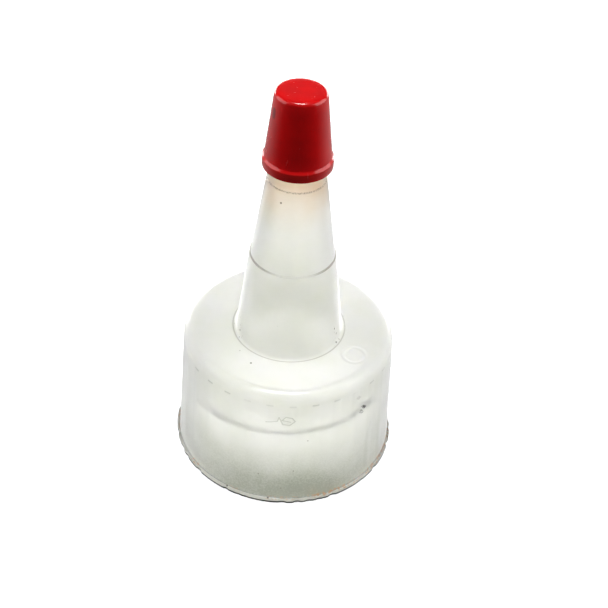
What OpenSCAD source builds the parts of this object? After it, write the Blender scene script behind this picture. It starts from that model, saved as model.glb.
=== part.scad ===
// Screw-on pour spout with a push-on sealer tip, for a bottle with a 28 mm neck.
// Origin: centre of the rim that the closure stands on. +Z runs up the spout. Millimetres.

/* [Skirt] */
// Outer diameter of the bead round the open end
bead_d = 31; // [30.8:0.1:31.6]
// Height of the bead
bead_h = 0.8; // [0.6:0.1:1.2]
// Outer diameter of the skirt just above the bead
skirt_low_d = 30; // [29.8:0.1:30.2]
// Outer diameter of the skirt below its shoulder
skirt_top_d = 28.6; // [28.5:0.1:29]
// Height of the deck above the rim
deck_z = 19.2; // [19:0.1:19.6]
// Radius of the shoulder between skirt and deck
shoulder_r = 1.6; // [1.2:0.1:1.8]
// Thickness of the deck
deck_t = 1.3; // [1.2:0.1:1.4]

/* [Grip ribs] */
// Number of ribs round the skirt
rib_count = 30; // [24:2:36]
// Width of a rib
rib_w = 0.9; // [0.7:0.1:1.1]
// How far a rib stands out of the skirt
rib_out = 0.14; // [0.1:0.02:0.2]

/* [Neck thread] */
// Diameter of the seat for the bottle's lip
seat_d = 25.6; // [25.5:0.1:25.8]
// Diameter at the root of the thread
thread_root_d = 27.7; // [27.6:0.1:27.8]
// Diameter at the crest of the thread
thread_crest_d = 25.8; // [25.8:0.1:26.2]
// Threads per inch
threads_per_inch = 6; // [6:1:6]
// Turns of thread
thread_turns = 1.5; // [1:0.25:1.75]

/* [Spout] */
// Outer diameter of the spout where it meets the deck
spout_base_d = 14.5; // [14:0.1:15]
// Height of the lower step
step_z = 31.8; // [30:0.1:33]
// Outer diameter of the spout just above the lower step
step_d = 11; // [10.6:0.1:11.4]
// How far the lower step stands out
step_out = 0.15; // [0.1:0.05:0.25]
// Height of the upper ledge
ledge_z = 43.5; // [42.5:0.1:44.5]
// Outer diameter of the spout at the upper ledge
ledge_d = 7.6; // [7.4:0.1:7.8]
// Wall of the spout at the deck
spout_wall = 1.25; // [1.1:0.05:1.4]

/* [Nozzle] */
// Outer diameter of the nozzle just above the ledge
nozzle_root_d = 7.3; // [7.1:0.1:7.3]
// Outer diameter of the nozzle at its end
nozzle_end_d = 5; // [4.8:0.1:5.2]
// Height of the nozzle's end
nozzle_end_z = 54.3; // [54:0.1:54.4]
// Diameter of the pouring hole
orifice_d = 1.5; // [0.8:0.1:2]

/* [Sealer tip] */
// Height of the tip's open end when it is on
tip_z = 45.4; // [45:0.1:45.8]
// Height of the tip's closed end when it is on
tip_top_z = 55.7; // [55.5:0.1:56]
// Outer diameter of the rim round the open end
tip_rim_d = 8.9; // [8.8:0.1:9.1]
// Height of that rim
tip_rim_h = 1.3; // [1:0.1:1.6]
// Outer diameter of the wall just above the rim
tip_low_d = 8.44; // [8.3:0.02:8.6]
// Outer diameter of the closed end
tip_top_d = 6.4; // [6.3:0.1:6.6]
// Radius of the edge round the closed end
tip_edge_r = 0.5; // [0.3:0.1:0.6]
// Radial gap between nozzle and tip
tip_gap = 0.05; // [0.03:0.01:0.08]

/* [Hidden] */
$fn = 96;

// Deck underside, where the bottle's lip stops
deck_under_z = deck_z - deck_t;

// Seat for the lip: a short true cylinder with a coved corner above it
seat_cove = 0.4;
seat_h = 1.2;
seat_z = deck_under_z - seat_cove - seat_h;

// Root of the thread: straight, then drawn in below the seat so that the wall stays thick
root_top_z = 14.2;
root_neck_d = 26.7;
root_neck_gap = 0.2;

// Lead-in at the open end
lead_h = 0.8;
lead_flare = 0.35;

// Sealing land that presses on the bottle's lip
land_d = 23.4;
land_w = 0.7;
land_crest_w = 0.24;
land_h = 0.3;

// Thread ridge
pitch = 25.4 / threads_per_inch;
thread_base_w = 2.3;
thread_crest_w = 0.9;
thread_sunk = 0.3;
thread_mid_z = 11.6;
thread_mid_angle = -75;
thread_fade = 32;
thread_end = 0.12;
thread_step = 6;

// Bevel on the top corner of the bead
bead_bevel = bead_h / 4;

// Ribs run from inside the bead to this height; the first one stands at this angle
rib_top_z = 17.6;
rib_first_angle = -1.5;
rib_sunk = 0.36;
rib_tilt = atan((skirt_low_d - skirt_top_d) / 2 / (deck_z - shoulder_r - bead_h));

// Fillet between spout and deck, and the bore's flare through the deck
base_fillet_r = 0.5;
bore_flare = 0.2;

// Raised ring moulded on the deck
mark_d = 3.3;
mark_w = 0.3;
mark_h = 0.12;
mark_sunk = 0.2;
mark_at = [8.9, -5.6];

// Pouring hole
orifice_land = 1;
nozzle_bevel = 0.2;
nozzle_wall = 0.85;
ledge_wall = 1.15;

// Tip
tip_roof_t = 0.9;
tip_rim_bevel = 0.1;
tip_mouth_lead = 0.3;

arc_steps = 8;

// Points on an arc round a centre, from one angle to another
function arc(centre, r, from, to) =
  [for (i = [0 : arc_steps])
    let (a = from + (to - from) * i / arc_steps)
    centre + r * [cos(a), sin(a)]];

// Radius of the nozzle's outside at a height
function nozzle_r(z) =
  let (part = (z - ledge_z) / (nozzle_end_z - ledge_z))
  (nozzle_root_d + (nozzle_end_d - nozzle_root_d) * part) / 2;

// Outside of the closure, from the rim up to the end of the nozzle
function outside() = concat(
  [
    [bead_d / 2, 0],
    [bead_d / 2, bead_h - bead_bevel],
    [bead_d / 2 - bead_bevel, bead_h],
    [skirt_low_d / 2, bead_h]
  ],
  arc([skirt_top_d / 2 - shoulder_r, deck_z - shoulder_r], shoulder_r, 0, 90),
  arc([spout_base_d / 2 + base_fillet_r, deck_z + base_fillet_r], base_fillet_r, 270, 180),
  [
    [step_d / 2 + step_out, step_z],
    [step_d / 2, step_z],
    [ledge_d / 2, ledge_z],
    [nozzle_root_d / 2, ledge_z],
    [nozzle_end_d / 2, nozzle_end_z - nozzle_bevel],
    [nozzle_end_d / 2 - nozzle_bevel, nozzle_end_z]
  ]
);

// Inside of the closure, from the pouring hole down to the rim
function inside() = [
  [orifice_d / 2, nozzle_end_z],
  [orifice_d / 2, nozzle_end_z - orifice_land],
  [nozzle_end_d / 2 - nozzle_wall, nozzle_end_z - 2 * orifice_land],
  [ledge_d / 2 - ledge_wall, ledge_z],
  [step_d / 2 - spout_wall, step_z],
  [spout_base_d / 2 - spout_wall, deck_z],
  [spout_base_d / 2 - spout_wall + bore_flare, deck_under_z],
  [(land_d - land_w) / 2, deck_under_z],
  [(land_d - land_crest_w) / 2, deck_under_z - land_h],
  [(land_d + land_crest_w) / 2, deck_under_z - land_h],
  [(land_d + land_w) / 2, deck_under_z],
  [seat_d / 2 - seat_cove, deck_under_z],
  [seat_d / 2, deck_under_z - seat_cove],
  [seat_d / 2, seat_z],
  [root_neck_d / 2, seat_z - root_neck_gap],
  [thread_root_d / 2, root_top_z],
  [thread_root_d / 2, lead_h],
  [thread_root_d / 2 + lead_flare, 0]
];

// One rib, sunk into the drafted skirt
module grip_rib() {
  translate([skirt_low_d / 2 - rib_sunk, 0, bead_h / 2])
    rotate([0, -rib_tilt, 0])
      translate([0, -rib_w / 2, 0])
        cube([rib_sunk + rib_out, rib_w, rib_top_z - bead_h / 2]);
}

module grip_ribs() {
  for (i = [0 : rib_count - 1])
    rotate([0, 0, rib_first_angle + i * 360 / rib_count]) grip_rib();
}

// Helical ridge on the inside of the skirt, fading out at both ends
module thread_ridge() {
  half = thread_turns * 180;
  count = round(2 * half / thread_step);
  root_r = thread_root_d / 2;
  height = (thread_root_d - thread_crest_d) / 2;
  flank = (thread_base_w - thread_crest_w) / 2 / height;
  back = root_r + thread_sunk;
  sections = [for (i = [0 : count])
    let (
      a = -half + 2 * half * i / count,
      grow = min(1, (half - abs(a)) / thread_fade + thread_end),
      crest = root_r - height * grow,
      tip_w = thread_base_w / 2 - flank * height * grow,
      back_w = thread_base_w / 2 + flank * thread_sunk,
      turn = a + thread_mid_angle,
      z = thread_mid_z + pitch * a / 360
    )
    [for (p = [[back, -back_w], [crest, -tip_w], [crest, tip_w], [back, back_w]])
      [p[0] * cos(turn), p[0] * sin(turn), z + p[1]]]];
  ring = 4;
  walls = [for (i = [0 : count - 1], j = [0 : ring - 1], side = [0, 1])
    let (
      n = (j + 1) % ring,
      here = i * ring,
      next = here + ring
    )
    side == 0 ? [here + j, next + n, here + n] : [here + j, next + j, next + n]];
  first = [for (j = [1 : ring - 2]) [0, j, j + 1]];
  last = [for (j = [1 : ring - 2]) [count * ring, count * ring + j + 1, count * ring + j]];
  points = [for (section = sections) each section];
  polyhedron(points, concat(walls, first, last));
}

module deck_mark() {
  translate([mark_at[0], mark_at[1], deck_z - mark_sunk])
    linear_extrude(mark_sunk + mark_h)
      difference() {
        circle(d = mark_d);
        circle(d = mark_d - 2 * mark_w);
      }
}

// One moulding: skirt, deck, spout and nozzle
module closure() {
  color("ghostwhite") {
    rotate_extrude() polygon(concat(outside(), inside()));
    grip_ribs();
    thread_ridge();
    deck_mark();
  }
}

// Push-on cap over the nozzle
module sealer_tip() {
  mouth_r = nozzle_r(tip_z) + tip_gap;
  roof_z = tip_top_z - tip_roof_t;
  color("firebrick")
    rotate_extrude()
      polygon(concat(
        [
          [mouth_r + tip_mouth_lead, tip_z],
          [tip_rim_d / 2, tip_z],
          [tip_rim_d / 2, tip_z + tip_rim_h - tip_rim_bevel],
          [tip_rim_d / 2 - tip_rim_bevel, tip_z + tip_rim_h],
          [tip_low_d / 2, tip_z + tip_rim_h]
        ],
        arc([tip_top_d / 2 - tip_edge_r, tip_top_z - tip_edge_r], tip_edge_r, 0, 90),
        [
          [0, tip_top_z],
          [0, roof_z],
          [nozzle_r(roof_z) + tip_gap, roof_z],
          [nozzle_r(tip_z + tip_mouth_lead) + tip_gap, tip_z + tip_mouth_lead]
        ]
      ));
}

closure();
sealer_tip();
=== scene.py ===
import math
import random

import bpy
import bmesh
from mathutils import Matrix, Quaternion, Vector


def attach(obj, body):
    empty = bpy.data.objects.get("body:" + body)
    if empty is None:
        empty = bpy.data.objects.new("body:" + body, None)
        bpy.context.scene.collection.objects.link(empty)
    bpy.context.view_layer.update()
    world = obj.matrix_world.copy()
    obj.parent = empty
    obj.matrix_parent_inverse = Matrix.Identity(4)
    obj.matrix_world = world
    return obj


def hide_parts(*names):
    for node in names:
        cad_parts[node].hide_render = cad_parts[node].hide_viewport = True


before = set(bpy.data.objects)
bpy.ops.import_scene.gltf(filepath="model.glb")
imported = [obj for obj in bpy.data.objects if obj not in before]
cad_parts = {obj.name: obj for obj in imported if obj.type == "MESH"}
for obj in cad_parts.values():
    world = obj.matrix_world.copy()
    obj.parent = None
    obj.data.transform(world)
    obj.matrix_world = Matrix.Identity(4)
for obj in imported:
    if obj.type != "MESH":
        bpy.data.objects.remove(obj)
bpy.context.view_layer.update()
scene = bpy.context.scene
scene.view_settings.view_transform = "Standard"
MM = 0.001
# The milky walls pass light to and fro between them many times before it comes out.
scene.cycles.max_bounces = scene.cycles.transmission_bounces = 40
scene.cycles.diffuse_bounces = scene.cycles.glossy_bounces = 16


# Camera: looks down on the part from in front, about 170 mm off, through a portrait lens.
# The part leans a little to the right in the frame, because the camera is rolled.
CAMERA_AT = Vector((0, -128.65, 131.13)) * MM
CAMERA_AIM = Vector((1.88, 0, 22.91)) * MM
CAMERA_ROLL = math.radians(3.66)
CAMERA_LENS = 74
camera = bpy.data.objects.new("camera", bpy.data.cameras.new("camera"))
camera.data.lens = CAMERA_LENS
camera.data.clip_start = 10 * MM
looking = (CAMERA_AIM - CAMERA_AT).to_track_quat("-Z", "Y") @ Quaternion((0, 0, 1), CAMERA_ROLL)
camera.matrix_world = Matrix.Translation(CAMERA_AT) @ looking.to_matrix().to_4x4()
scene.collection.objects.link(camera)
scene.camera = camera


# Light: a small softbox overhead, a big dim one at each side and a wide one behind, all soft.
# The room is dark in front and glows a little low down behind, where it lights the milky walls.
MIDDLE = Vector((0, 0, 30)) * MM
ROOM_DARK = 0.01
ROOM_GLOW = 0.42


def softbox(name, at, width, height, watts):
    """A rectangular area light at a place in millimetres, turned to the middle of the part."""
    lamp = bpy.data.lights.new(name, "AREA")
    lamp.shape = "RECTANGLE"
    lamp.size = width * MM
    lamp.size_y = height * MM
    lamp.energy = watts
    box = bpy.data.objects.new(name, lamp)
    at = Vector(at) * MM
    turn = (MIDDLE - at).to_track_quat("-Z", "Y")
    box.matrix_world = Matrix.Translation(at) @ turn.to_matrix().to_4x4()
    scene.collection.objects.link(box)


softbox("overhead_softbox", at=(0, -20, 500), width=160, height=160, watts=1.9)
softbox("left_softbox", at=(-450, 0, 200), width=500, height=500, watts=1.5)
softbox("right_softbox", at=(450, 0, 200), width=500, height=500, watts=1.8)
softbox("back_softbox", at=(0, 450, 50), width=900, height=240, watts=4.4)


def add_node(tree, kind, inputs=(), output=0, **settings):
    """Adds a node with its settings and its inputs, in order or by name, and gives an output."""
    node = tree.nodes.new("ShaderNode" + kind)
    for name, value in settings.items():
        setattr(node, name, value)
    if not isinstance(inputs, dict):
        inputs = dict(enumerate(inputs))
    for name, value in inputs.items():
        if isinstance(value, bpy.types.NodeSocket):
            tree.links.new(value, node.inputs[name])
        else:
            node.inputs[name].default_value = value
    return node.outputs[output]


# The setting that makes a Map Range node ease from one level to the other.
S_CURVE = {"interpolation_type": "SMOOTHSTEP"}
room = bpy.data.worlds.new("studio_room")
room.use_nodes = True
tree = room.node_tree
direction = add_node(tree, "TexCoord", output="Generated")
toward = add_node(tree, "SeparateXYZ", [direction]).node.outputs
low_down = add_node(tree, "MapRange", [toward["Z"], 0.35, -0.05], **S_CURVE)
not_in_front = add_node(tree, "MapRange", [toward["Y"], -0.45, 0.45], **S_CURVE)
lit = add_node(tree, "Math", [low_down, not_in_front], operation="MULTIPLY")
glow = add_node(tree, "MapRange", [lit, 0, 1, ROOM_DARK, ROOM_GLOW])
tree.links.new(glow, tree.nodes["Background"].inputs["Strength"])
tree.nodes["Background"].inputs["Color"].default_value = (1, 1, 1, 1)
scene.world = room


# Floor: a white acrylic light table, lit a little from below so that shadows stay faint, in a
# white tent. The part's own light is set above, so neither of them throws any more on to it.
FLOOR_HALF = 1500 * MM
TENT_WALL = 2000 * MM


def srgb(hex_colour):
    """A hex colour as the linear RGBA that a shader takes."""
    parts = [int(hex_colour[i:i + 2], 16) / 255 for i in (1, 3, 5)]
    return [c / 12.92 if c <= 0.04045 else ((c + 0.055) / 1.055) ** 2.4 for c in parts] + [1]


def new_material(name):
    """A material with a node tree, and its Principled shader."""
    material = bpy.data.materials.new(name)
    material.use_nodes = True
    return material, material.node_tree, material.node_tree.nodes["Principled BSDF"]


def set_shader(shader, values):
    """Sets the shader's own sockets."""
    for name, value in values.items():
        shader.inputs[name].default_value = value


# White acrylic, sanded and lit from inside: even and matt, with no texture that the eye can find.
white_acrylic, tree, shader = new_material("white_acrylic_light_table")
set_shader(shader, {"Base Color": srgb("#e8e8e8"), "Roughness": 0.8,
                    "Emission Color": (1, 1, 1, 1), "Emission Strength": 0.68})
FLOOR_CORNERS = [(-FLOOR_HALF, -FLOOR_HALF), (FLOOR_HALF, -FLOOR_HALF),
                 (FLOOR_HALF, FLOOR_HALF), (-FLOOR_HALF, FLOOR_HALF)]
floor_mesh = bpy.data.meshes.new("floor")
floor_mesh.from_pydata([(x, y, 0) for x, y in FLOOR_CORNERS], [], [(0, 1, 2, 3)])
tent_mesh = bpy.data.meshes.new("tent")
tent_mesh.from_pydata([(x, y, z) for z in (-TENT_WALL, TENT_WALL) for x, y in FLOOR_CORNERS],
                      [], [(i, (i + 1) % 4, (i + 1) % 4 + 4, i + 4) for i in range(4)])
floor = bpy.data.objects.new("floor", floor_mesh)
tent = bpy.data.objects.new("tent", tent_mesh)
tent.visible_transmission = False
for stage in (floor, tent):
    stage.data.materials.append(white_acrylic)
    stage.visible_diffuse = False
    stage.visible_glossy = False
    stage.visible_shadow = False
    scene.collection.objects.link(stage)


# Closure: one injection moulding in natural low-density polyethylene. Ribbed skirt, bead, deck,
# stepped cone and nozzle outside; bottle thread, lip seat and tapered bore inside.
DECK_Z = 19.2
DECK_UNDER_Z = 17.9
SHOULDER_R = 1.6
SKIRT_LOW_R = 15.0
SKIRT_TOP_R = 14.3
BEAD_R = 15.5
BEAD_H = 0.8
SPOUT_FOOT_R = 7.25
STEP_Z = 31.8
STEP_R = 5.65
STEP_OUT = 0.15
LEDGE_Z = 43.5
LEDGE_R = 3.8
LEDGE_OUT = 0.15
NOZZLE_END_Z = 54.3
NOZZLE_END_R = 2.5
RIB_TOP_Z = 17.6
RIM_IN_R = 14.2
ROOT_R = 13.85
ROOT_LOW_Z = 7.4
ROOT_TOP_Z = 14.2
ROOT_NECK_R = 13.35
SEAT_Z = 16.4
SEAT_R = 12.8
LAND_R = 11.7
LAND_H = 0.3
LAND_HALF = 0.35
BORE_FOOT_R = 6.2
BORE_STEP_R = 4.25
BORE_LEDGE_R = 2.65
BORE_END_R = 1.65
HOLE_R = 0.75
# The deck has fine rings of points between these radii, for the raised ring that stands on it.
DECK_FINE_FROM_R = 8.7
DECK_FINE_TO_R = 12.3
CLOSURE_STEPS = 480


def rounded(corners):
    """Points of a closed outline in the r-z plane, from (r, z, rounding, longest step) corners."""
    arcs = []
    for i, (r, z, rounding, _) in enumerate(corners):
        here = Vector((r, z))
        if not rounding:
            arcs.append([here])
            continue
        back = (Vector(corners[i - 1][:2]) - here).normalized()
        ahead = (Vector(corners[(i + 1) % len(corners)][:2]) - here).normalized()
        half = back.angle(ahead) / 2
        middle = here + (back + ahead).normalized() * rounding / math.sin(half)
        start = here + back * rounding / math.tan(half) - middle
        end = here + ahead * rounding / math.tan(half) - middle
        turn = end.angle_signed(start)
        count = max(2, round(abs(turn) / math.radians(22)))
        arcs.append([middle + Matrix.Rotation(turn * k / count, 2) @ start
                     for k in range(count + 1)])
    points = []
    for i, arc in enumerate(arcs):
        points += arc
        step = corners[i][3]
        if step:
            to = arcs[(i + 1) % len(arcs)][0]
            count = int((to - arc[-1]).length / step)
            points += [arc[-1].lerp(to, k / (count + 1)) for k in range(1, count + 1)]
    return points


def turned(name, outline, steps, closed=True):
    """A turned solid: the outline, in millimetres, spun round the Z axis by a Screw modifier."""
    mesh = bpy.data.meshes.new(name)
    edges = [(i, i + 1) for i in range(len(outline) - 1)]
    if closed:
        edges.append((len(outline) - 1, 0))
    mesh.from_pydata([(p[0] * MM, 0, p[1] * MM) for p in outline], edges, [])
    piece = bpy.data.objects.new(name, mesh)
    scene.collection.objects.link(piece)
    screw = piece.modifiers.new("turned", "SCREW")
    screw.steps = screw.render_steps = steps
    screw.use_merge_vertices = True
    screw.merge_threshold = 0.002 * MM
    screw.use_smooth_shade = True
    return piece


def apply_stack(piece):
    """Puts a piece's modifiers into its mesh."""
    graph = bpy.context.evaluated_depsgraph_get()
    mesh = bpy.data.meshes.new_from_object(piece.evaluated_get(graph))
    piece.modifiers.clear()
    piece.data = mesh


def face_outwards(piece):
    """Turns every face of a closed mesh outwards."""
    work = bmesh.new()
    work.from_mesh(piece.data)
    bmesh.ops.recalc_face_normals(work, faces=work.faces)
    work.to_mesh(piece.data)
    work.free()


def smooth(x, low, high):
    """0 below low, 1 above high, and an S-curve between."""
    t = min(1, max(0, (x - low) / (high - low)))
    return t * t * (3 - 2 * t)


closure = turned("closure_moulding", rounded([
    # outside, from the end of the nozzle down to the rim
    (NOZZLE_END_R, NOZZLE_END_Z, 0.2, 0),
    (LEDGE_R - LEDGE_OUT, LEDGE_Z, 0.06, 0),
    (LEDGE_R, LEDGE_Z, 0.05, 4),
    (STEP_R - STEP_OUT, STEP_Z, 0.06, 0),
    (STEP_R, STEP_Z, 0.05, 4),
    (SPOUT_FOOT_R, DECK_Z, 0.45, 1),
    (DECK_FINE_FROM_R, DECK_Z, 0, 0.14),
    (DECK_FINE_TO_R, DECK_Z, 0, 0),
    (SKIRT_TOP_R, DECK_Z, SHOULDER_R - 0.08, 0),
    (SKIRT_TOP_R, RIB_TOP_Z, 0, 0),
    (SKIRT_TOP_R + 0.01, RIB_TOP_Z - 0.08, 0, 0),
    (SKIRT_TOP_R + 0.02, RIB_TOP_Z - 0.2, 0, 1),
    (SKIRT_LOW_R, BEAD_H, 0.1, 0),
    (BEAD_R, BEAD_H - 0.05, 0.3, 0),
    (BEAD_R, 0, 0.25, 0),
    # inside, from the rim up through the thread, the lip seat and the bore
    (RIM_IN_R, 0, 0.15, 0),
    (ROOT_R, BEAD_H, 0.3, 2),
    (ROOT_R, ROOT_LOW_Z, 0, 0.22),
    (ROOT_R, ROOT_TOP_Z, 0, 0.22),
    (ROOT_NECK_R, SEAT_Z - 0.3, 0, 0.22),
    (SEAT_R, SEAT_Z, 0.1, 0),
    (SEAT_R, DECK_UNDER_Z, 0.4, 0),
    (LAND_R + LAND_HALF, DECK_UNDER_Z, 0, 0),
    (LAND_R, DECK_UNDER_Z - LAND_H, 0.12, 0),
    (LAND_R - LAND_HALF, DECK_UNDER_Z, 0, 1.2),
    (BORE_FOOT_R, DECK_UNDER_Z, 0.3, 0),
    (BORE_STEP_R, STEP_Z, 0, 4),
    (BORE_LEDGE_R, LEDGE_Z, 0, 3),
    (BORE_END_R, NOZZLE_END_Z - 2, 0.2, 0),
    (HOLE_R, NOZZLE_END_Z - 1, 0.15, 0),
    (HOLE_R, NOZZLE_END_Z, 0.08, 0),
]), CLOSURE_STEPS)
apply_stack(closure)

# Grip ribs: thirty low round-topped ribs, ending square under the shoulder. The milky skin all
# but hides them, so they are drawn lower than the real ones.
RIB_COUNT = 30
RIB_OUT = 0.05
RIB_FLANK_AT = 0.7
RIB_CREST_AT = 0.2
RIB_FIRST = math.radians(-1.5)
RIB_PITCH = math.tau / RIB_COUNT


def rib_height(turn, r, z):
    """How far a rib lifts the skirt at an angle, radius and height."""
    off = abs((turn - RIB_FIRST + RIB_PITCH / 2) % RIB_PITCH - RIB_PITCH / 2) * r
    square_end = smooth(-z, -RIB_TOP_Z - 0.02, -RIB_TOP_Z + 0.1)
    return RIB_OUT * smooth(-off, -RIB_FLANK_AT, -RIB_CREST_AT) * square_end


# Bottle thread: a right-hand ridge, six to the inch, for one and a half turns. It is drawn
# lower and rounder than the real one, so that it only shades the wall in front of it.
THREAD_PITCH = 25.4 / 6
THREAD_MIDDLE_Z = 11.6
THREAD_MIDDLE = math.radians(-75)
THREAD_HALF = math.radians(270)
THREAD_FADE = math.radians(32)
THREAD_DEPTH = 0.6
THREAD_FOOT_AT = 2.1
THREAD_CREST_AT = -0.5


def thread_height(turn, z):
    """How far the thread stands in from its root at an angle and height."""
    best = 0
    for lap in (-1, 0, 1):
        along = turn - THREAD_MIDDLE + lap * math.tau
        if abs(along) < THREAD_HALF:
            off = abs(z - THREAD_MIDDLE_Z - THREAD_PITCH * along / math.tau)
            fade = smooth(THREAD_HALF - abs(along), 0, THREAD_FADE)
            ridge = smooth(-off, -THREAD_FOOT_AT, -THREAD_CREST_AT)
            best = max(best, fade * THREAD_DEPTH * ridge)
    return best


# Rim: trimmed by the mould, so its edge is a little ragged.
RIM_WEAR_LEAST = 0.06
RIM_WEAR_MORE = 0.16
rng = random.Random(7)
RIM_WAVES = [(count, rng.uniform(0, math.tau)) for count in (5, 9, 14, 23, 37, 58)]


def rim_wear(turn):
    """How far the ragged rim falls short at an angle."""
    wave = sum(math.sin(count * turn + start) for count, start in RIM_WAVES) / len(RIM_WAVES)
    return RIM_WEAR_LEAST + RIM_WEAR_MORE * smooth(wave, 0.05, 0.5)


# Raised ring: left on the deck by the mould maker's round gate insert.
RING_AT = Vector((8.9, -5.6))
RING_R = 1.5
RING_H = 0.07
RING_FLANK_AT = 0.26
RING_CREST_AT = 0.06


def ring_height(x, y):
    """How far the ring stands out of the deck."""
    off = abs((Vector((x, y)) - RING_AT).length - RING_R)
    return RING_H * smooth(-off, -RING_FLANK_AT, -RING_CREST_AT)


for vertex in closure.data.vertices:
    x, y, z = vertex.co / MM
    if abs(z - DECK_Z) < 0.01:
        vertex.co.z += ring_height(x, y) * MM
    r, turn = math.hypot(x, y), math.atan2(y, x)
    if r > SKIRT_TOP_R - 0.02 and BEAD_H + 0.1 < z < RIB_TOP_Z + 0.1:
        grown = r + rib_height(turn, r, z)
    elif r > SKIRT_LOW_R + 0.2 and z < BEAD_H:
        grown = r - rim_wear(turn)
    elif ROOT_NECK_R - 0.05 < r < ROOT_R + 0.01 and ROOT_LOW_Z - 0.4 < z < SEAT_Z - 0.2:
        grown = min(r, ROOT_R - thread_height(turn, z))
    else:
        continue
    vertex.co.x *= grown / r
    vertex.co.y *= grown / r
face_outwards(closure)

# Natural polyethylene leaves the mould milky and satin: light comes through it but no shapes do,
# it glows where it is lit from behind, and grazing light gives its skin a faint bloom.
milky_polyethylene, tree, shader = new_material("natural_polyethylene_moulded")
set_shader(shader, {"IOR": 1.25, "Subsurface Weight": 1, "Subsurface Scale": 3 * MM,
                    "Subsurface Radius": (1, 1, 0.85), "Sheen Weight": 1, "Sheen Roughness": 0.4,
                    "Coat Weight": 0.6, "Coat Roughness": 0.12, "Coat IOR": 1.5})
# Sizes of the lumps in each pattern, in millimetres.
CLOUD = 5
GRAIN = 0.35
HAZE_AND_SHADE_GRAIN = 0.25
CRUMB = 0.16


def in_millimetres(tree):
    """The point on the piece in millimetres, and its coordinates."""
    place = add_node(tree, "TexCoord", output="Object")
    place = add_node(tree, "VectorMath", {0: place, "Scale": 1 / MM}, operation="SCALE")
    return place, add_node(tree, "SeparateXYZ", [place]).node.outputs


def seam(tree, value, level, width):
    """A thin line where a value is at a level."""
    off = add_node(tree, "Math", [value, level], operation="SUBTRACT")
    off = add_node(tree, "Math", [off], operation="ABSOLUTE")
    return add_node(tree, "MapRange", [off, width, width * 0.3], **S_CURVE)


def paint(tree, colour, layers):
    """Lays the layers' colours over a first colour, each by the amount of it at a point."""
    for amount, hex_colour in layers:
        colour = add_node(tree, "Mix", {0: amount, 6: colour, 7: srgb(hex_colour)}, 2,
                          data_type="RGBA")
    return colour


place, axes = in_millimetres(tree)
x, y, z = axes["X"], axes["Y"], axes["Z"]
beside = add_node(tree, "Math", [x], operation="ABSOLUTE")
before = add_node(tree, "Math", [y], operation="ABSOLUTE")
across = add_node(tree, "VectorMath", [place, (1, 1, 0)], operation="MULTIPLY")
out = add_node(tree, "VectorMath", [across], "Value", operation="LENGTH")
clouds = add_node(tree, "TexNoise", {"Vector": place, "Scale": 1 / CLOUD, "Detail": 3})
grains = add_node(tree, "TexNoise", {"Vector": place, "Scale": 1 / GRAIN})
layers = [(add_node(tree, "MapRange", [clouds, 0.35, 0.7], **S_CURVE), "#f3f4ed")]

# Haze and shade: the skirt's lower half is greyed towards the rim, partly by handling haze and
# partly as painted shade for the contact shadow and the dark near the floor. Painted shade also
# makes it heavier in front and behind than at the sides.
HAZE_AND_SHADE_TOP_Z = 12.5
HAZE_AND_SHADE_FULL_Z = 0.6
FRONT_SHADE_FROM_Y = 8
FRONT_SHADE_FULL_Y = 14.5
haze_and_shade = add_node(tree, "MapRange", [z, HAZE_AND_SHADE_TOP_Z, HAZE_AND_SHADE_FULL_Z, 0, 0.95], **S_CURVE)
front_back_shade = add_node(tree, "MapRange", [before, FRONT_SHADE_FROM_Y, FRONT_SHADE_FULL_Y, 0.65, 1.08], **S_CURVE)
haze_and_shade = add_node(tree, "Math", [haze_and_shade, front_back_shade], operation="MULTIPLY")
haze_and_shade_grain = add_node(tree, "TexNoise", {"Vector": place, "Scale": 1 / HAZE_AND_SHADE_GRAIN, "Detail": 4})
haze_and_shade_grain = add_node(tree, "MapRange", [haze_and_shade_grain, 0.35, 0.65, 0.8, 1.15], **S_CURVE)
haze_and_shade = add_node(tree, "Math", [haze_and_shade, haze_and_shade_grain], operation="MULTIPLY")
patches = add_node(tree, "MapRange", [clouds, 0.2, 0.75, 0.75, 1.1], **S_CURVE)
haze_and_shade = add_node(tree, "Math", [haze_and_shade, patches], operation="MULTIPLY")
layers.append((haze_and_shade, "#a9aca0"))

# Stain: the liquor has tanned the top of the spout, and less of the nozzle that the tip covers.
STAIN_FROM_Z = 36.5
STAIN_FULL_Z = 45
COVERED_FROM_Z = 46
COVERED_Z = 48.5
stain = add_node(tree, "MapRange", [z, STAIN_FROM_Z, STAIN_FULL_Z], **S_CURVE)
patches = add_node(tree, "MapRange", [clouds, 0.3, 0.65, 0.5, 1], **S_CURVE)
stain = add_node(tree, "Math", [stain, patches], operation="MULTIPLY")
bare = add_node(tree, "MapRange", [z, COVERED_Z, COVERED_FROM_Z, 0.35, 1], **S_CURVE)
stain = add_node(tree, "Math", [stain, bare], operation="MULTIPLY")
layers.append((stain, "#ebd4ba"))

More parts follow.
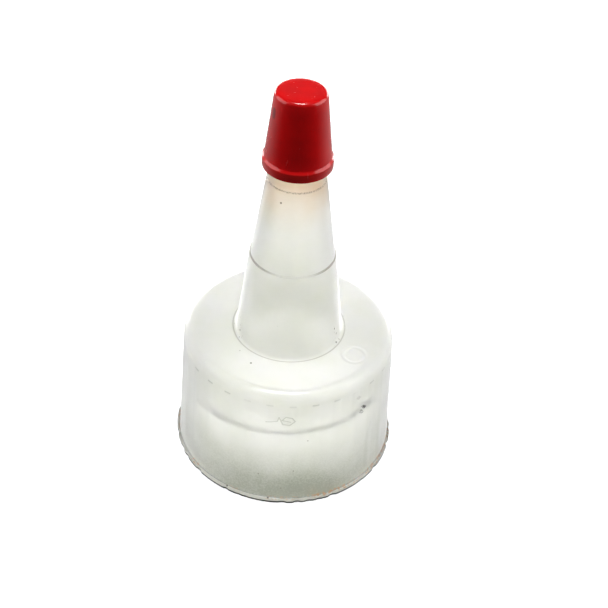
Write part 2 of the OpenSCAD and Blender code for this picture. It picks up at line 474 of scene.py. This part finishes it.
# Corners: dark lines broken into crumbs lie in the corner at the ledge, at the step (more at the
# sides) and round the foot of the spout; they are painted shade in the corners, flecked with dirt.
# Loose dark crumbs of dirt lie at both sides of the foot.
crumbs = add_node(tree, "TexNoise", {"Vector": place, "Scale": 1 / CRUMB})
crumbs = add_node(tree, "MapRange", [crumbs, 0.45, 0.6, 0.12, 0.75], **S_CURVE)
corner_shade_and_grime = add_node(tree, "Math", [seam(tree, z, LEDGE_Z, 0.11), crumbs], operation="MULTIPLY")
at_sides = add_node(tree, "MapRange", [beside, 1.5, 5, 0.15, 0.9], **S_CURVE)
step_shade = add_node(tree, "Math", [seam(tree, z, STEP_Z, 0.16), at_sides], operation="MULTIPLY")
corner_shade_and_grime = add_node(tree, "Math", [corner_shade_and_grime, step_shade], operation="MAXIMUM")
foot_shade = add_node(tree, "Math", [seam(tree, out, SPOUT_FOOT_R + 0.37, 0.14),
                               seam(tree, z, DECK_Z, 0.5)], operation="MULTIPLY")
foot_shade = add_node(tree, "Math", [foot_shade, 0.5], operation="MULTIPLY")
corner_shade_and_grime = add_node(tree, "Math", [corner_shade_and_grime, foot_shade], operation="MAXIMUM")
loose = add_node(tree, "Math", [seam(tree, out, SPOUT_FOOT_R + 0.05, 0.9),
                                seam(tree, z, DECK_Z + 1.4, 2.6)], operation="MULTIPLY")
for away in (add_node(tree, "MapRange", [beside, 4.6, 6.4], **S_CURVE),
             add_node(tree, "MapRange", [before, 4.5, 3], **S_CURVE),
             add_node(tree, "MapRange", [grains, 0.64, 0.7, 0, 0.8], **S_CURVE)):
    loose = add_node(tree, "Math", [loose, away], operation="MULTIPLY")
corner_shade_and_grime = add_node(tree, "Math", [corner_shade_and_grime, loose], operation="MAXIMUM")
layers.append((corner_shade_and_grime, "#6d655a"))

# Rib tops: a short dark dash is painted under the square top end of each rib as its shadow.
turn = add_node(tree, "Math", [y, x], operation="ARCTAN2")
turn = add_node(tree, "Math", [turn, RIB_PITCH / 2 - RIB_FIRST], operation="ADD")
turn = add_node(tree, "Math", [turn, RIB_PITCH], operation="FLOORED_MODULO")
turn = add_node(tree, "Math", [turn, RIB_PITCH / 2], operation="SUBTRACT")
turn = add_node(tree, "Math", [turn], operation="ABSOLUTE")
rib_top_shadow = add_node(tree, "MapRange", [turn, RIB_PITCH * 0.19, RIB_PITCH * 0.12], **S_CURVE)
for where in (seam(tree, z, RIB_TOP_Z - 0.1, 0.15),
              add_node(tree, "Math", [out, SKIRT_TOP_R - 0.1], operation="GREATER_THAN"),
              add_node(tree, "MapRange", [clouds, 0.35, 0.6, 0.05, 0.5], **S_CURVE)):
    rib_top_shadow = add_node(tree, "Math", [rib_top_shadow, where], operation="MULTIPLY")
layers.append((rib_top_shadow, "#82877e"))

# Rim: a pale painted highlight lies along the bead's top edge, tan flecks lie on it in places,
# and a black painted shadow rings the bead's foot.
FOOT_SHADOW_TOP_Z = 0.5
# A pale painted highlight along the bead's top edge.
edge = add_node(tree, "Math", [out, SKIRT_LOW_R + 0.15], operation="GREATER_THAN")
bead_top_highlight = add_node(tree, "MapRange", [z, 0.3, 0.45], **S_CURVE)
bead_top_highlight = add_node(tree, "Math", [edge, bead_top_highlight], operation="MULTIPLY")
layers.append((bead_top_highlight, "#fffdee"))
tan = seam(tree, z, BEAD_H, 0.3)
for where in (add_node(tree, "MapRange", [grains, 0.45, 0.6, 0, 0.9], **S_CURVE),
              add_node(tree, "MapRange", [clouds, 0.45, 0.6], **S_CURVE)):
    tan = add_node(tree, "Math", [tan, where], operation="MULTIPLY")
layers.append((tan, "#e0a060"))
# A black painted shadow rings the bead's foot, patchy with the clouds.
bead_foot_shadow = add_node(tree, "MapRange", [z, FOOT_SHADOW_TOP_Z, FOOT_SHADOW_TOP_Z - 0.1], **S_CURVE)
for where in (add_node(tree, "MapRange", [clouds, 0.3, 0.5, 0.8, 1], **S_CURVE),
              add_node(tree, "MapRange", [out, SKIRT_LOW_R - 0.1, SKIRT_LOW_R], **S_CURVE)):
    bead_foot_shadow = add_node(tree, "Math", [bead_foot_shadow, where], operation="MULTIPLY")
layers.append((bead_foot_shadow, "#0c0b0a"))

# Clearness: the thin skirt lets more light through than the spout does. The bead's top edge is
# made clearest of all, to brighten its painted highlight, and the painted shadow at its foot lets
# next to none through, to darken it.
SPOUT_CLEAR = 0.78
SKIRT_CLEAR = 0.87
EDGE_CLEAR = 0.97
clear = add_node(tree, "MapRange", [z, 14, 18, SKIRT_CLEAR, SPOUT_CLEAR], **S_CURVE)
at_edge = add_node(tree, "Math", [bead_top_highlight, EDGE_CLEAR], operation="MULTIPLY")
clear = add_node(tree, "Math", [clear, at_edge], operation="MAXIMUM")
under_foot_shadow = add_node(tree, "MapRange", [bead_foot_shadow, 0, 1, 1, 0.2], **S_CURVE)
clear = add_node(tree, "Math", [clear, under_foot_shadow], operation="MULTIPLY")
tree.links.new(clear, shader.inputs["Transmission Weight"])

# Scratch: a loose fine squiggle on the front of the skirt, and nicks to the right of it with
# grime in. They are placed as seen square from the front, so their depth is left out.
SCRATCH = [(-2.3, 0, 14.6), (-0.8, 0, 14.9), (-0.6, 0, 15.6), (-0.1, 0, 14.4), (0.8, 0, 14.3),
           (1.5, 0, 15), (1.1, 0, 15.6), (0.3, 0, 15.7), (-0.2, 0, 15.1), (0.9, 0, 14.9)]
SCRATCH_REACH = 0.12
NICKS = [([(10.35, 0, 14.2), (10.7, 0, 13.8)], 1), ([(10.1, 0, 13.6), (10.4, 0, 13.2)], 0.8),
         ([(9.6, 0, 16.4), (9.8, 0, 16.1)], 0.3)]
NICK_REACH = 0.3


def near(tree, place, points, reach):
    """How near a point is to a broken line: 1 on it, 0 from its reach on."""
    nearest = None
    for start, end in zip(points, points[1:]):
        along = Vector(end) - Vector(start)
        from_start = add_node(tree, "VectorMath", [place, start], operation="SUBTRACT")
        part = add_node(tree, "VectorMath", [from_start, along / along.length_squared], "Value",
                        operation="DOT_PRODUCT")
        part = add_node(tree, "Clamp", [part])
        step = add_node(tree, "VectorMath", {0: along, "Scale": part}, operation="SCALE")
        off = add_node(tree, "VectorMath", [from_start, step], "Value", operation="DISTANCE")
        if nearest is not None:
            off = add_node(tree, "Math", [nearest, off], operation="MINIMUM")
        nearest = off
    return add_node(tree, "MapRange", [nearest, reach, reach * 0.4], **S_CURVE)


front = add_node(tree, "Math", [y, 0], operation="LESS_THAN")
flat = add_node(tree, "VectorMath", [place, (1, 0, 1)], operation="MULTIPLY")
scratch = add_node(tree, "Math", [near(tree, flat, SCRATCH, SCRATCH_REACH), front],
                   operation="MULTIPLY")
layers.append((add_node(tree, "Math", [scratch, 0.6], operation="MULTIPLY"), "#8d9186"))
for line, depth in NICKS:
    nick = add_node(tree, "Math", [near(tree, flat, line, NICK_REACH), front],
                    operation="MULTIPLY")
    filled = add_node(tree, "MapRange", [grains, 0.4, 0.5, 0, depth], **S_CURVE)
    nick = add_node(tree, "Math", [nick, filled], operation="MULTIPLY")
    layers.append((nick, "#1d1a16"))

# Flecks: single dark crumbs stuck to the cone, its foot, the deck and the bead.
FLECKS = [(-1.78, -3.62, 41.9), (-4.7, -8.2, 19.2), (-6.5, -2.9, 20.2), (-6.2, -3.3, 19.4),
          (6.1, -3.3, 21.7), (6.3, -3, 20.6), (6.5, -3.4, 19.4), (-1.6, -15.12, 0.77),
          (-7.3, -13.35, 0.77)]
FLECK_R = 0.2
for fleck in FLECKS:
    off = add_node(tree, "VectorMath", [place, fleck], "Value", operation="DISTANCE")
    layers.append((add_node(tree, "MapRange", [off, FLECK_R, FLECK_R * 0.4], **S_CURVE),
                   "#4b433a"))

# Specks: dust pressed into the surface, one in a cell of a few millimetres, thick round the rim.
# The real specks are too fine to show, so they are drawn a third of a millimetre across.
SPECK_CELL = 1.6
dust = add_node(tree, "TexVoronoi", {"Vector": place, "Scale": 1 / SPECK_CELL}).node.outputs
picked = add_node(tree, "SeparateColor", [dust["Color"]])
share = add_node(tree, "MapRange", [z, 3, 0, 0.12, 0.7], **S_CURVE)
speck = add_node(tree, "MapRange", [dust["Distance"], 0.09, 0.04], **S_CURVE)
chosen = add_node(tree, "Math", [picked, share], operation="LESS_THAN")
speck = add_node(tree, "Math", [speck, chosen], operation="MULTIPLY")
layers.append((add_node(tree, "Math", [speck, 0.8], operation="MULTIPLY"), "#5d5145"))
tree.links.new(paint(tree, srgb("#f9f9f6"), layers), shader.inputs["Base Color"])

# Satin: the mould's spark finish is too fine to show, so its grain is drawn 0.35 mm across. The
# inside of the skirt is left as the core was machined, and is duller.
inside = add_node(tree, "MapRange", [out, 14.15, 14.05], **S_CURVE)
below = add_node(tree, "MapRange", [z, 18.6, 18.4], **S_CURVE)
inside = add_node(tree, "Math", [inside, below], operation="MULTIPLY")
duller = add_node(tree, "Math", [inside, 0.45], operation="MULTIPLY")
rough = add_node(tree, "MapRange", [clouds, 0.3, 0.7, 0.42, 0.55], **S_CURVE)
rough = add_node(tree, "Math", [rough, duller], operation="ADD")
tree.links.new(rough, shader.inputs["Roughness"])
bump = add_node(tree, "Bump", {"Strength": 0.25, "Distance": 0.02 * MM, "Height": grains})
bump = add_node(tree, "Bump", {"Strength": 0.5, "Distance": 0.05 * MM, "Height": scratch,
                               "Normal": bump})
tree.links.new(bump, shader.inputs["Normal"])
closure.data.materials.append(milky_polyethylene)
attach(closure, "closure")
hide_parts("closure")


# Sealer tip: a thin push-on cap moulded in glossy red polyethylene. It is held by the nozzle's
# taper, and the rim round its open end gives a thumb something to push on.
TIP_Z = 45.4
TIP_TOP_Z = 55.7
TIP_TOP_R = 3.2
TIP_EDGE_R = 0.5
TIP_LOW_R = 4.2
TIP_RIM_R = 4.45
TIP_RIM_H = 1.2
TIP_MOUTH_R = 3.75
TIP_BORE_LOW_R = 3.5
TIP_BORE_TOP_R = 2.55
TIP_ROOF = 0.9
TIP_STEPS = 192
AXIS_R = 0.001
tip = turned("sealer_tip_moulding", [Vector((0, TIP_TOP_Z))] + rounded([
    (AXIS_R, TIP_TOP_Z, 0, 0.8),
    (TIP_TOP_R, TIP_TOP_Z, TIP_EDGE_R, 2),
    (TIP_LOW_R, TIP_Z + TIP_RIM_H + 0.3, 0.3, 0),
    (TIP_RIM_R, TIP_Z + TIP_RIM_H, 0.2, 0),
    (TIP_RIM_R, TIP_Z, 0.12, 0),
    (TIP_MOUTH_R, TIP_Z, 0.1, 0),
    (TIP_BORE_LOW_R, TIP_Z + 0.3, 0, 2),
    (TIP_BORE_TOP_R, TIP_TOP_Z - TIP_ROOF, 0.15, 0.8),
    (AXIS_R, TIP_TOP_Z - TIP_ROOF, 0, 0),
]) + [Vector((0, TIP_TOP_Z - TIP_ROOF))], TIP_STEPS, closed=False)
apply_stack(tip)
face_outwards(tip)

# Red polyethylene from a polished mould: opaque, with a clear shine that waves a little, fine
# upright scuffs from fingers, a paler worn rim, and a dark spot of painted shade where one small
# pit near its top lies, with no dent in the surface.
RED_CLOUD = 2.5
RED_GRAIN = 0.3
SCUFF = 0.4
SCUFF_STRETCH = 0.12
PIT = [(-3.1, -1.5, 53.6), (-3.2, -1.6, 53)]
PIT_REACH = 0.55
red_polyethylene, tree, shader = new_material("red_polyethylene_moulded")
set_shader(shader, {"IOR": 1.51, "Coat Weight": 0.15, "Coat Roughness": 0.08})
place, axes = in_millimetres(tree)
clouds = add_node(tree, "TexNoise", {"Vector": place, "Scale": 1 / RED_CLOUD, "Detail": 4})
grains = add_node(tree, "TexNoise", {"Vector": place, "Scale": 1 / RED_GRAIN})
deeper = add_node(tree, "MapRange", [clouds, 0.3, 0.7], **S_CURVE)
worn = add_node(tree, "MapRange", [axes["Z"], TIP_Z + 1.5, TIP_Z + 0.9, 0, 0.5], **S_CURVE)
streaks = add_node(tree, "VectorMath", [place, (1, 1, SCUFF_STRETCH)], operation="MULTIPLY")
scuffs = add_node(tree, "TexNoise", {"Vector": streaks, "Scale": 1 / SCUFF, "Detail": 3})
scuffs = add_node(tree, "MapRange", [scuffs, 0.6, 0.8], **S_CURVE)
scuffed = add_node(tree, "Math", [scuffs, 0.05], operation="MULTIPLY")
# A dark spot of painted shade stands for the small pit's hollow.
pit_shade = add_node(tree, "Math", [near(tree, place, PIT, PIT_REACH), 0.7], operation="MULTIPLY")
colour = paint(tree, srgb("#cf1113"), [(deeper, "#bf1013"), (worn, "#c92a28"),
                                       (scuffed, "#d8605c"), (pit_shade, "#5c0a0e")])
tree.links.new(colour, shader.inputs["Base Color"])
dulled = add_node(tree, "Math", [clouds, scuffs], operation="ADD")
rough = add_node(tree, "MapRange", [dulled, 0.3, 1.4, 0.17, 0.3], **S_CURVE)
tree.links.new(rough, shader.inputs["Roughness"])
bump = add_node(tree, "Bump", {"Strength": 0.3, "Distance": 0.02 * MM, "Height": clouds})
bump = add_node(tree, "Bump", {"Strength": 0.12, "Distance": 0.02 * MM, "Height": grains,
                               "Normal": bump})
tree.links.new(bump, shader.inputs["Normal"])
tip.data.materials.append(red_polyethylene)
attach(tip, "sealer_tip")
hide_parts("sealer_tip")
